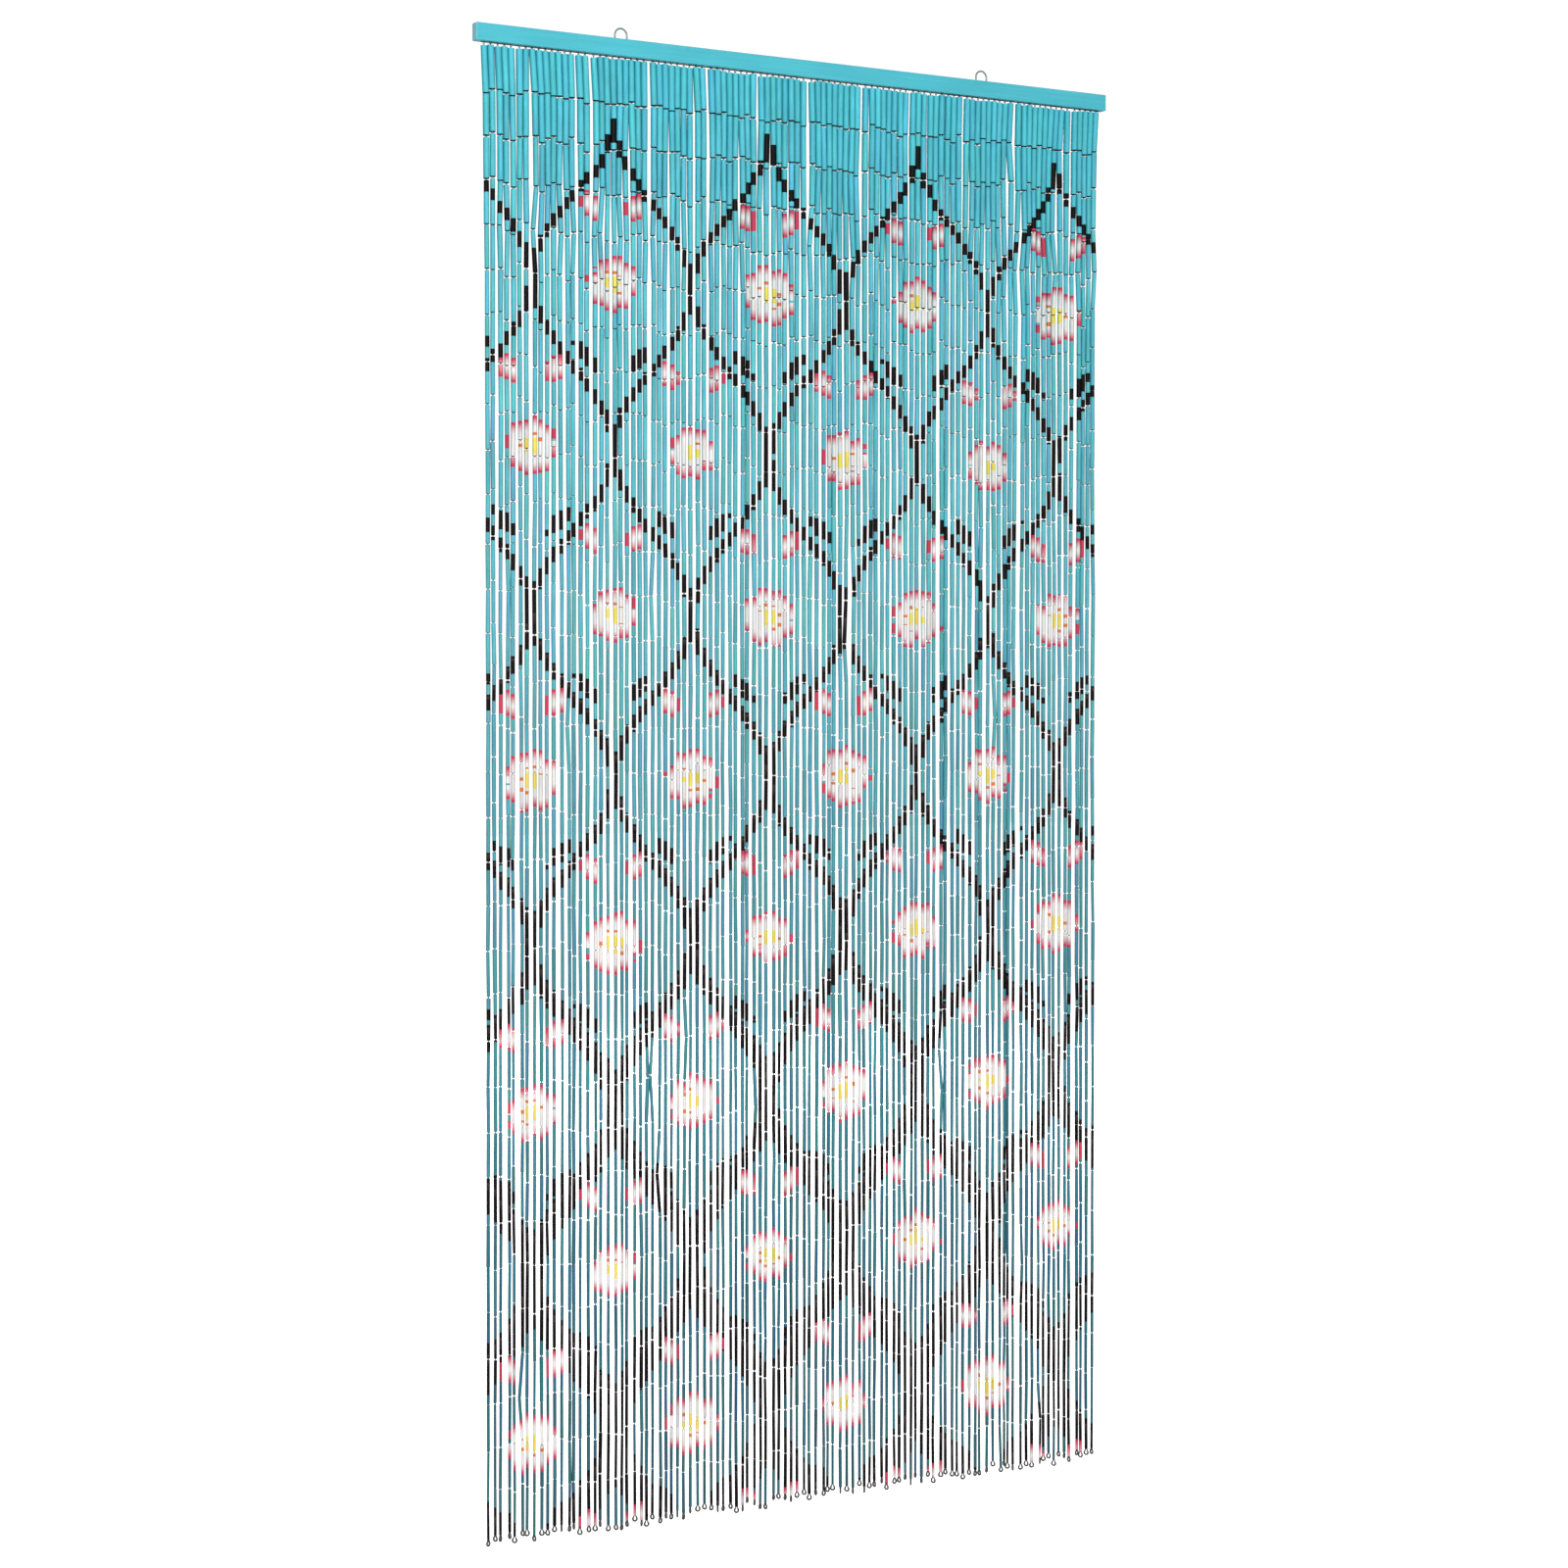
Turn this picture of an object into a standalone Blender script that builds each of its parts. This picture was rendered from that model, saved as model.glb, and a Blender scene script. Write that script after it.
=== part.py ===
"""Door curtain of painted bamboo tube strings under a painted wooden rail.

Metres, +Z up. The rail runs along X, its front faces -Y and the strings hang down.
The origin is the middle of the rail's top face.
"""

import math
from collections import namedtuple

import bmesh
import bpy
import numpy as np
from mathutils import Matrix

# Clearance between touching pieces
GAP = 0.0003

# Header rail, a slat of painted wood
RAIL_LENGTH = 1.000
RAIL_DEPTH = 0.014
RAIL_HEIGHT = 0.023
RAIL_EDGE = 0.0010

# Two hanging loops of bent wire, whose legs stand in holes in the rail's top
LOOP_PLACE = 0.287
LOOP_WIDTH = 0.020
LOOP_RISE = 0.0155
LOOP_WIRE = 0.0022
LOOP_LEG = 0.012
LOOP_STEPS = 12
HOLE_SIDES = 16

# Strings: how many, how far apart, and from the rail's top to the lowest ring
STRINGS = 100
STRING_PITCH = 0.00984
DROP = 2.000
END_SPREAD = 0.013
SEED = 27

# The strip under the rail that carries the strings, and the wire link below it
STRIP_DEPTH = 0.0030
STRIP_HEIGHT = 0.0012
STRIP_MARGIN = 0.0040
LINK_WIDTH = 0.0014
LINK_DROP = 0.0026
LINK_SPREAD = 0.5
SHOULDER = 0.0004

# The wire ring that ends each string
RING_WIDTH = 0.0082
RING_WIRE = 0.0020

# How a string of tubes changes on its way down: the share of the way, the tubes' width and
# its spread as a share, how far the curtain reaches as a share of its width at the rail, how
# far a string strays since the row above, and the least space that it keeps to the next one
Section = namedtuple("Section", "down width spread reach stray clear")
SECTIONS = (
    Section(0.000, 0.0089, 0.020, 1.000, 0.0007, 0.0004),
    Section(0.035, 0.0085, 0.040, 0.994, 0.0004, 0.0004),
    Section(0.120, 0.0070, 0.080, 0.994, 0.0004, 0.0005),
    Section(0.350, 0.0057, 0.120, 0.995, 0.0007, 0.0005),
    Section(0.650, 0.0049, 0.120, 0.996, 0.0008, 0.0005),
    Section(1.000, 0.0043, 0.120, 0.999, 0.0009, 0.0005),
)
# How much of that stray is towards the front or the back
ACROSS_SHARE = 0.5

# Colours as linear light
TURQUOISE = (0.080, 0.530, 0.650, 1.0)
TEAL = (0.075, 0.330, 0.400, 1.0)
STEEL_GREY = (0.300, 0.300, 0.285, 1.0)


def clear_scene():
    """Removes every object that the file opens with."""
    for item in list(bpy.data.objects):
        bpy.data.objects.remove(item, do_unlink=True)


def make_material(name, colour, roughness, metallic):
    """A Principled material with one colour."""
    material = bpy.data.materials.new(name)
    material.use_nodes = True
    shader = material.node_tree.nodes["Principled BSDF"]
    shader.inputs["Base Color"].default_value = colour
    shader.inputs["Roughness"].default_value = roughness
    shader.inputs["Metallic"].default_value = metallic
    return material


def place_object(name, data, material=None):
    """Links a new object with its material into the scene."""
    item = bpy.data.objects.new(name, data)
    bpy.context.scene.collection.objects.link(item)
    if material is not None:
        data.materials.append(material)
    return item


def mesh_from(bm, name):
    """Turns a bmesh into a mesh with its faces pointing out."""
    bmesh.ops.recalc_face_normals(bm, faces=bm.faces)
    mesh = bpy.data.meshes.new(name)
    bm.to_mesh(mesh)
    bm.free()
    return mesh


def loop_leg_places():
    """The X of each leg of the two hanging loops."""
    reach = (LOOP_WIDTH - LOOP_WIRE) / 2
    return [side * LOOP_PLACE + leg * reach for side in (-1, 1) for leg in (-1, 1)]


def make_leg_cutter():
    """Four upright rods, a gap wider than the loops' legs, that cut their holes."""
    depth = LOOP_LEG + GAP
    bm = bmesh.new()
    for place in loop_leg_places():
        bmesh.ops.create_cone(
            bm,
            cap_ends=True,
            segments=HOLE_SIDES,
            radius1=LOOP_WIRE / 2 + GAP,
            radius2=LOOP_WIRE / 2 + GAP,
            depth=2 * depth,
            matrix=Matrix.Translation((place, 0, 0)),
        )
    cutter = place_object("leg_cutter", mesh_from(bm, "leg_cutter"))
    cutter.hide_render = True
    cutter.display_type = "WIRE"
    return cutter


def make_rail(material):
    """The wooden slat, with its long edges eased and a hole for each loop leg."""
    bm = bmesh.new()
    bmesh.ops.create_cube(bm, size=1.0)
    bmesh.ops.scale(bm, vec=(RAIL_LENGTH, RAIL_DEPTH, RAIL_HEIGHT), verts=bm.verts)
    bmesh.ops.translate(bm, vec=(0, 0, -RAIL_HEIGHT / 2), verts=bm.verts)
    rail = place_object("rail", mesh_from(bm, "rail"), material)
    edges = rail.modifiers.new("eased_edges", "BEVEL")
    edges.width = RAIL_EDGE
    edges.segments = 2
    holes = rail.modifiers.new("leg_holes", "BOOLEAN")
    holes.operation = "DIFFERENCE"
    holes.solver = "EXACT"
    holes.object = make_leg_cutter()


def make_hanger(name, place, material):
    """One wire loop: two legs in the rail and a round arch above it."""
    reach = (LOOP_WIDTH - LOOP_WIRE) / 2
    middle = LOOP_RISE - LOOP_WIDTH / 2
    turns = [math.pi * step / LOOP_STEPS for step in range(LOOP_STEPS + 1)]
    arch = [
        (place - reach * math.cos(turn), middle + reach * math.sin(turn)) for turn in turns
    ]
    route = [(place - reach, -LOOP_LEG), *arch, (place + reach, -LOOP_LEG)]
    wire = bpy.data.curves.new(name, "CURVE")
    wire.dimensions = "3D"
    wire.bevel_depth = LOOP_WIRE / 2
    wire.bevel_resolution = 2
    wire.use_fill_caps = True
    spline = wire.splines.new("POLY")
    spline.use_smooth = True
    spline.points.add(len(route) - 1)
    for point, (x, z) in zip(spline.points, route):
        point.co = (x, 0, z, 1)
    place_object(name, wire, material)


def hold_apart(places, widths, clear):
    """Pushes the strings along until each is clear of the one before it."""
    held = places.copy()
    for n in range(1, STRINGS):
        nearest = held[n - 1] + (widths[n - 1] + widths[n]) / 2 + clear
        held[n] = max(held[n], nearest)
    return held + np.mean(places) - np.mean(held)


def string_layout():
    """Each section's X, Y and width for every string, with each string's link and end."""
    draw = np.random.RandomState(SEED)
    roots = (np.arange(STRINGS) - (STRINGS - 1) / 2) * STRING_PITCH
    ends = draw.uniform(0, END_SPREAD, STRINGS)
    ends -= ends.min() + DROP
    links = LINK_DROP * (1 + LINK_SPREAD * draw.uniform(-1, 1, STRINGS))
    along = np.zeros(STRINGS)
    across = np.zeros(STRINGS)
    rows = []
    for section in SECTIONS:
        widths = section.width * (1 + section.spread * draw.uniform(-1, 1, STRINGS))
        along = along + section.stray * draw.normal(size=STRINGS)
        across = across + section.stray * ACROSS_SHARE * draw.normal(size=STRINGS)
        room = widths.copy()
        if section.down == 1:
            room[::2] = RING_WIDTH
        held = hold_apart(roots * section.reach + along, room, section.clear)
        along = held - roots * section.reach
        rows.append((held, across, widths))
    return rows, links, ends


def extrude_to(bm, face, place, width, depth):
    """Extrudes a square face down to a new place, width and depth, and returns its end."""
    end = bmesh.ops.extrude_discrete_faces(bm, faces=[face])["faces"][0]
    middle = end.calc_center_median()
    for vert in end.verts:
        side_x = math.copysign(0.5, vert.co.x - middle.x)
        side_y = math.copysign(0.5, vert.co.y - middle.y)
        vert.co = (place[0] + side_x * width, place[1] + side_y * depth, place[2])
    return end


def make_strip(bm, roots):
    """The carrying strip, cut into cells, and the underside face of each string's cell."""
    top = -RAIL_HEIGHT - GAP
    corners = [
        (-STRIP_DEPTH / 2, top - STRIP_HEIGHT),
        (STRIP_DEPTH / 2, top - STRIP_HEIGHT),
        (STRIP_DEPTH / 2, top),
        (-STRIP_DEPTH / 2, top),
    ]
    cuts = [x + side * LINK_WIDTH / 2 for x in roots for side in (-1, 1)]
    ends = [roots[0] - STRIP_MARGIN, *cuts, roots[-1] + STRIP_MARGIN]
    frames = [[bm.verts.new((x, y, z)) for y, z in corners] for x in ends]
    undersides = []
    for near, far in zip(frames, frames[1:]):
        for n in range(4):
            after = (n + 1) % 4
            face = bm.faces.new((near[n], near[after], far[after], far[n]))
            if n == 0:
                undersides.append(face)
    bm.faces.new(frames[0])
    bm.faces.new(frames[-1])
    return undersides[1::2]


def string_route(number, rows, links, ends):
    """The places, widths and depths down one string, from its link to its ring."""
    tubes_top = -RAIL_HEIGHT - GAP - STRIP_HEIGHT - links[number]
    ring_bottom = ends[number]
    ring_top = ring_bottom + RING_WIDTH
    tubes_bottom = ring_top + LINK_DROP
    first_x, first_y = rows[0][0][number], rows[0][1][number]
    last_x, last_y = rows[-1][0][number], rows[-1][1][number]
    route = [((first_x, first_y, tubes_top), LINK_WIDTH, LINK_WIDTH)]
    for section, (along, across, widths) in zip(SECTIONS, rows):
        z = tubes_top - SHOULDER + section.down * (tubes_bottom - tubes_top + SHOULDER)
        width = widths[number]
        route.append(((along[number], across[number], z), width, width))
    route.append(((last_x, last_y, tubes_bottom - SHOULDER), RING_WIRE, RING_WIRE))
    route.append(((last_x, last_y, ring_top), RING_WIRE, RING_WIRE))
    face_on = number % 2 == 0
    width = RING_WIDTH if face_on else RING_WIRE
    depth = RING_WIRE if face_on else RING_WIDTH
    route.append(((last_x, last_y, ring_bottom + RING_WIDTH / 2), width, depth))
    route.append(((last_x, last_y, ring_bottom), RING_WIRE, RING_WIRE))
    return route


def make_strands(material):
    """All strings as four-sided strands, rooted in the strip under the rail."""
    rows, links, ends = string_layout()
    bm = bmesh.new()
    roots = make_strip(bm, rows[0][0])
    for number, face in enumerate(roots):
        for place, width, depth in string_route(number, rows, links, ends):
            face = extrude_to(bm, face, place, width, depth)
    place_object("strands", mesh_from(bm, "strands"), material)


def main():
    clear_scene()
    rail_paint = make_material("rail_paint", TURQUOISE, 0.5, 0.0)
    string_paint = make_material("string_paint", TEAL, 0.5, 0.0)
    left_wire = make_material("left_wire", STEEL_GREY, 0.4, 1.0)
    right_wire = make_material("right_wire", STEEL_GREY, 0.4, 1.0)
    make_rail(rail_paint)
    make_hanger("hanger_left", -LOOP_PLACE, left_wire)
    make_hanger("hanger_right", LOOP_PLACE, right_wire)
    make_strands(string_paint)


main()
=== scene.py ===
"""Looks of a door curtain: strings of painted bamboo tubes under a painted wooden rail."""

import math
from collections import namedtuple

import bmesh
import bpy
import numpy as np
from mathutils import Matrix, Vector


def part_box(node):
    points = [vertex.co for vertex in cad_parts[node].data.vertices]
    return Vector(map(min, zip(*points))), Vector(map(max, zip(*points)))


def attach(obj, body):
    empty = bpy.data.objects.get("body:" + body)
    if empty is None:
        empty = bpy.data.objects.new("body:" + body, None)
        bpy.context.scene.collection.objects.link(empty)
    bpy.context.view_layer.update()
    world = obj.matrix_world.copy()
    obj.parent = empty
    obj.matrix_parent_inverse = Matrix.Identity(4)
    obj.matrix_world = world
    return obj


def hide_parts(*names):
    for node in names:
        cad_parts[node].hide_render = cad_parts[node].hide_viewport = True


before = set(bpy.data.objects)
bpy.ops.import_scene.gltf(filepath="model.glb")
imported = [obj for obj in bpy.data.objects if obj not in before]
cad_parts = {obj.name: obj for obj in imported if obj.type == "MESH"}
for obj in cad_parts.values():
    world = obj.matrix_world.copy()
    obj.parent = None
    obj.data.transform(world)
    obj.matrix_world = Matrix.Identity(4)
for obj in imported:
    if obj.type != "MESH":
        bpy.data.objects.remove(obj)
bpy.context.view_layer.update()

rail_low, rail_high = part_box("rail")

# Camera: left of the curtain and a little over half-way up it, its lens turned slightly down
CAMERA_YAW = math.radians(29.9)
CAMERA_PITCH = math.radians(1.69)
CAMERA_AWAY = 4.32
CAMERA_SIDE = 0.0351
CAMERA_HEIGHT = -0.868
CAMERA_REACH = 100
LENS_LENGTHS = 1.991

# The floor lies this far under the lowest ring
FLOOR_DROP = 0.070
FLOOR_SIZE = 40.0

# The studio's own light, a large soft lamp in front and a weaker one behind
WORLD_LIGHT = 0.30
KEY_PLACE = (-3.9, -6.2, 0.9)
KEY_AIM = (0.0, 0.0, -0.8)
KEY_SIZE = 2.2
KEY_POWER = 535.0
FILL_PLACE = (3.0, 6.0, 0.6)
FILL_POWER = 260.0
STUDIO_WHITE = 1.05

# Hanging loops, as in the model, but for a little more wire to be seen
LOOP_PLACE = 0.287
LOOP_WIDTH = 0.020
LOOP_RISE = 0.0155
LOOP_WIRE = 0.0022
LOOP_SHOWN_WIRE = 0.0025
LOOP_LEG = 0.012
LOOP_LEG_STEPS = 6
LOOP_STEPS = 33
LOOP_SIDES = 14

# Strings, as in the model
STRINGS = 100
STRING_PITCH = 0.00984
DROP = 2.000
END_SPREAD = 0.013
SEED = 27
LINK_DROP = 0.0026
LINK_SPREAD = 0.5
GAP = 0.0003
STRIP_TOP = rail_low.z - GAP
STRIP_HEIGHT = 0.0012
ACROSS_SHARE = 0.5
Section = namedtuple("Section", "down width spread reach stray clear")
SECTIONS = (
    Section(0.000, 0.0089, 0.020, 1.000, 0.0007, 0.0004),
    Section(0.035, 0.0085, 0.040, 0.994, 0.0004, 0.0004),
    Section(0.120, 0.0070, 0.080, 0.994, 0.0004, 0.0005),
    Section(0.350, 0.0057, 0.120, 0.995, 0.0007, 0.0005),
    Section(0.650, 0.0049, 0.120, 0.996, 0.0008, 0.0005),
    Section(1.000, 0.0043, 0.120, 0.999, 0.0009, 0.0005),
)

# The wire ring at each string's foot: as wide as in the model, of thicker wire to be seen, and
# hung a little closer to its tube
RING_WIDTH = 0.0082
RING_WIRE = 0.0027
RING_LINK = 0.0012
RING_TURN = 0.8
RING_STEPS = 15
RING_SIDES = 8

# The carrier under the rail
STRIP_STEPS = 60
STRIP_SIDES = 10

# Where the plane of the carrier and of the loops faces
BACKWARD = np.array([(0.0, 1.0, 0.0)])

# Tubes on each string
TUBES = 33
TUBE_SPREAD = 0.050
TUBE_GAP = 0.0013
TUBE_GAP_SPREAD = 0.70
TUBE_SIDES = 10
TUBE_EDGE = 0.00035
TUBE_TAPER = 0.025
TUBE_VARY_TOP = 0.025
TUBE_VARY_FOOT = 0.075
TUBE_VARY_MOST = 2
TUBE_SHARP = math.radians(40)
HOLLOW_DOWN = (0.1, 0.5)
HOLLOW_TOP = 0.82
HOLLOW_FOOT = 0.62
# How wide the tubes are against the model's strands, at shares of the way down
SWOLLEN_DOWN = (0.0, 0.035, 0.10, 0.30, 0.60, 0.85, 1.0)
SWOLLEN_BY = (1.035, 1.025, 0.96, 0.995, 0.99, 1.01, 0.96)
# How far joints stray from a straight string, at shares of the way down
LEAN_DOWN = (0.05, 0.30)
LEAN = (0.00006, 0.00025)
# The share of joints that swing over, and how much of the room beside them they take
KINK_SHARE = 0.008
KINK_REACH = (0.40, 0.70)
STRINGS_A_PIECE = 6
TUBE_SEED = 5

# Rows where tubes lean on each other: the share of the way down, how likely a bunch starts at
# a string, how likely it still starts where one did in the row above, how close they lean, and
# how much of their places in the row above they keep
Huddle = namedtuple("Huddle", "down split kept pull hold")
HUDDLES = (
    Huddle(0.000, 0.13, 0.00, 0.97, 0.00),
    Huddle(0.030, 0.03, 0.96, 1.00, 0.00),
    Huddle(0.060, 0.25, 0.90, 0.95, 0.50),
    Huddle(0.095, 0.35, 0.95, 0.90, 0.60),
    Huddle(0.150, 0.35, 0.95, 0.70, 0.60),
    Huddle(0.220, 0.30, 0.95, 0.50, 0.60),
    Huddle(0.320, 0.30, 0.95, 0.30, 0.60),
    Huddle(0.450, 0.40, 0.95, 0.10, 0.50),
    Huddle(0.600, 0.50, 0.95, 0.00, 0.30),
)
HUDDLE_MOST = 9
HUDDLE_GAP = 0.00006

# Wire eyelets between the tubes: the wire's radius, an eyelet's half width as a share of the
# hollow's and at most, how far it hooks past the middle of the gap in wire radii, and how long
# its legs are against its depth
EYELET_RADIUS = 0.00042
EYELET_SHARE = 0.74
EYELET_MOST = 0.0016
EYELET_HOOK = 1.2
EYELET_LEG = 1.3
EYELET_SIDES = 4
EYELET_STEPS = 4
LINK_PIECES = 2

# How much of its cell on the map a tube and a wire fill, and where a tube's rings lie there
MAP_COLUMNS = 22
TUBE_MAP_FILL = 0.9
WIRE_MAP_FILL = 0.8
MAP_RIM_TOP = (0.01, 0.04)
MAP_WALL = (0.05, 0.85)
MAP_FOOT_SHADE = (0.86, 0.88)
MAP_RIM_FOOT = (0.89, 0.92)
MAP_END = (0.93, 0.95)
MAP_HOLLOW = (0.96, 0.99)

# Painted design: an ogee trellis of dark stems with a daisy in each cell
COLUMN_PITCH = 0.0098
BAND_STEP = 0.0005
LEAST_BAND = 0.0015
PAINT_SHIFT = 0.0014
DESIGN_TOP = -0.105
CELL_WIDTH = 0.240
CELL_HEIGHT = 0.440
STEMS = 11
DAISY_RADIUS = 0.041
DAISY_PETALS = 8
BUD_LENGTH = 0.044
BUD_WIDTH = 0.030
LEAF_LENGTH = 0.056
LEAF_WIDTH = 0.020
DAISY_NOTCH = 0.76
DAISY_ROUND = 0.6
DAISY_SPREAD = (0.90, 1.08)
SPOTS_REACH = 0.46
SPOTS_CREST = 0.5
EYE_RIM = 0.36
EYE = 0.28
BUD_PLACE = (0.034, 0.102)
BUD_LEAN = math.radians(24)
LEAF_PLACE = (0.040, -0.098)
LEAF_LEAN = math.radians(42)
TIP_STEPS = 6
BLUSH_STEPS = 24
# The stems' width at some heights, and the paler streak on thick ones, from and to a share of
# their half width and only where that is more than the least
STEM_HEIGHTS = (-2.00, -1.55, -1.10, 0.00)
STEM_WIDTHS = (0.048, 0.032, 0.015, 0.009)
STREAK_FROM = 0.25
STREAK_TO = 0.75
STREAK_LEAST = 0.0065
STEM, BARK, PETAL, BLUSH, TIP, CENTRE, SPOT, GROUND = range(8)

# Paint colours as linear light, in the order of the names above but for the ground
PAINTS = np.array([
    (0.0035, 0.0022, 0.0025),
    (0.040, 0.030, 0.029),
    (0.660, 0.610, 0.600),
    (0.640, 0.300, 0.340),
    (0.500, 0.040, 0.085),
    (0.720, 0.560, 0.090),
    (0.640, 0.150, 0.030),
])
# What is left of a paint's colour on a tube's sides, darkened there as painted shade for the
# crevices between tubes, at shares of the way down, and how narrow those sides are
SIDE_SHADE_DOWN = (0.00, 0.10, 0.30, 0.60)
SIDE_LEFT_BY_SHADE = np.array([
    (0.12, 0.55, 0.58),
    (0.15, 0.58, 0.61),
    (0.45, 0.75, 0.78),
    (0.75, 0.85, 0.88),
])
SIDE_SHADE_POWER = 4
# The ground's colour at shares of the way down, darkening towards the foot as painted shade for the
# light falling off there
GROUND_DOWN = (0.00, 0.10, 0.35, 0.60, 0.85, 1.00)
GROUND_SHADED_COLOURS = np.array([
    (0.070, 0.450, 0.535),
    (0.092, 0.428, 0.500),
    (0.097, 0.375, 0.430),
    (0.062, 0.242, 0.284),
    (0.027, 0.130, 0.168),
    (0.034, 0.112, 0.140),
])
# How much the paint's lightness and hue differ from tube to tube, at shares of the way down
TINT_DOWN = (0.0, 0.3, 0.7, 1.0)
VALUE_SPREAD = (0.040, 0.055, 0.075, 0.120)
HUE_SPREAD = (0.024, 0.045, 0.055, 0.085)
MOTIF_HUE = 0.3
# Bare cane that shows through at a tube's top rim, the painted shade that darkens its lower rim,
# and the painted shade that blackens its inside
BARE_CANE = np.array((0.300, 0.260, 0.200))
RIM_BARE = 0.08
RIM_PAINTED_SHADE = 0.06
HOLLOW_PAINTED_SHADE = np.array((0.012, 0.010, 0.008))
# The painted shade on the edge at a tube's foot, at shares of the way down, and how far from a
# tube's ends its paint may change, in edges and in those shaded foot edges
FOOT_SHADE_DOWN = (0.10, 0.35)
FOOT_SHADE_EDGE = (0.0011, 0.00035)
END_CLEAR = 3
FOOT_SHADE_CLEAR = 1.5
# The rail's paint, and the grey end grain that shows through it at the two sawn ends
RAIL_PAINT = (0.067, 0.425, 0.505)
END_GRAIN = (0.360, 0.460, 0.500)
END_WEAR = 0.5
END_FADE = (0.0009, 0.0001)
# Wires' colours, the first darkened as painted shade for the wires in the shade under the rail, and
# how metallic dull and bright ones are
SHADED_RAIL_WIRE = (0.024, 0.024, 0.023)
RING_STEEL = (0.075, 0.072, 0.068)
LOOP_STEEL = (0.220, 0.285, 0.290)
LINK_STEEL = (0.600, 0.680, 0.710)
DULL_METAL = 0.3
BRIGHT_METAL = 0.5
# Fine marks in the cane, the slat and the wires: how fine they are, how they are stretched
# and how much detail they have
Noise = namedtuple("Noise", "scale stretch detail")
CANE_GRAIN = Noise(900.0, (1, 1, 0.04), 3.0)
CANE_CLOUD = Noise(55.0, (1, 1, 0.5), 2.0)
SLAT_STREAKS = Noise(420.0, (0.02, 1, 1), 3.0)
SLAT_CLOUD = Noise(14.0, (0.6, 1, 1), 2.0)
WIRE_MARKS = Noise(600.0, (1, 1, 1), 3.0)
NOISE_SPAN = (0.3, 0.7)
# The least and most that those marks leave of the colour, and the roughness that they give
CANE_GRAIN_SHADES = (0.88, 1.10)
CANE_CLOUD_SHADES = (0.92, 1.07)
CANE_ROUGHNESS = (0.48, 0.66)
SLAT_STREAK_SHADES = (0.93, 1.06)
SLAT_CLOUD_SHADES = (0.95, 1.04)
SLAT_ROUGHNESS = (0.45, 0.60)
WIRE_SHADES = (0.75, 1.15)
WIRE_ROUGHNESS = (0.30, 0.50)
# The paint's gloss, and how strongly and how far its marks stand out
CANE_GLOSS = 0.10
CANE_MARKS = 0.35
SLAT_GLOSS = 0.25
SLAT_MARKS = 0.25
MARK_HEIGHT = 0.0002
# The floor's shade and roughness
FLOOR_SHADE = 0.80
FLOOR_ROUGHNESS = 0.9


def make_camera():
    """The camera, at its place from the curtain's middle and turned to it."""
    ahead = np.array((math.sin(CAMERA_YAW), math.cos(CAMERA_YAW), 0))
    right = np.array((math.cos(CAMERA_YAW), -math.sin(CAMERA_YAW), 0))
    middle = np.array((0, rail_low.y, 0))
    place = middle - CAMERA_AWAY * ahead - CAMERA_SIDE * right
    data = bpy.data.cameras.new("camera")
    data.lens = data.sensor_width * LENS_LENGTHS
    data.clip_end = CAMERA_REACH
    camera = bpy.data.objects.new("camera", data)
    camera.location = (place[0], place[1], CAMERA_HEIGHT)
    camera.rotation_euler = (math.pi / 2 - CAMERA_PITCH, 0, -CAMERA_YAW)
    bpy.context.scene.collection.objects.link(camera)
    bpy.context.scene.camera = camera


def make_mesh(name, verts, faces, material, paint, map_points):
    """An object from points and four-cornered faces, with or without paint."""
    mesh = bpy.data.meshes.new(name)
    mesh.vertices.add(len(verts))
    mesh.vertices.foreach_set("co", verts.astype(np.float32).ravel())
    mesh.loops.add(faces.size)
    mesh.loops.foreach_set("vertex_index", faces.astype(np.int32).ravel())
    mesh.polygons.add(len(faces))
    mesh.polygons.foreach_set("loop_start", np.arange(0, faces.size, 4, dtype=np.int32))
    mesh.update(calc_edges=True)
    if paint is not None:
        colours = mesh.color_attributes.new("paint", "FLOAT_COLOR", "CORNER")
        opaque = np.concatenate([paint, np.ones((len(paint), 1))], axis=1)
        colours.data.foreach_set("color", opaque.astype(np.float32).ravel())
    layer = mesh.uv_layers.new(name="OFBake")
    layer.data.foreach_set("uv", map_points.astype(np.float32).ravel())
    mesh.materials.append(material)
    item = bpy.data.objects.new(name, mesh)
    bpy.context.scene.collection.objects.link(item)
    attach(item, "root")
    return item


def hold_apart(places, widths, clear):
    """Pushes the strings along until each is clear of the one before it."""
    held = places.copy()
    for n in range(1, STRINGS):
        nearest = held[n - 1] + (widths[n - 1] + widths[n]) / 2 + clear
        held[n] = max(held[n], nearest)
    return held + np.mean(places) - np.mean(held)


def string_layout():
    """Each section's X, Y and width for every string, with each string's link and end."""
    draw = np.random.RandomState(SEED)
    roots = (np.arange(STRINGS) - (STRINGS - 1) / 2) * STRING_PITCH
    ends = draw.uniform(0, END_SPREAD, STRINGS)
    ends -= ends.min() + DROP
    links = LINK_DROP * (1 + LINK_SPREAD * draw.uniform(-1, 1, STRINGS))
    along = np.zeros(STRINGS)
    across = np.zeros(STRINGS)
    rows = []
    for section in SECTIONS:
        widths = section.width * (1 + section.spread * draw.uniform(-1, 1, STRINGS))
        along = along + section.stray * draw.normal(size=STRINGS)
        across = across + section.stray * ACROSS_SHARE * draw.normal(size=STRINGS)
        room = widths.copy()
        if section.down == 1:
            room[::2] = RING_WIDTH
        held = hold_apart(roots * section.reach + along, room, section.clear)
        along = held - roots * section.reach
        rows.append((held, across, widths))
    return rows, links, ends


Tube = namedtuple("Tube", "string top bottom radius_top radius_bottom tint")


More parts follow.
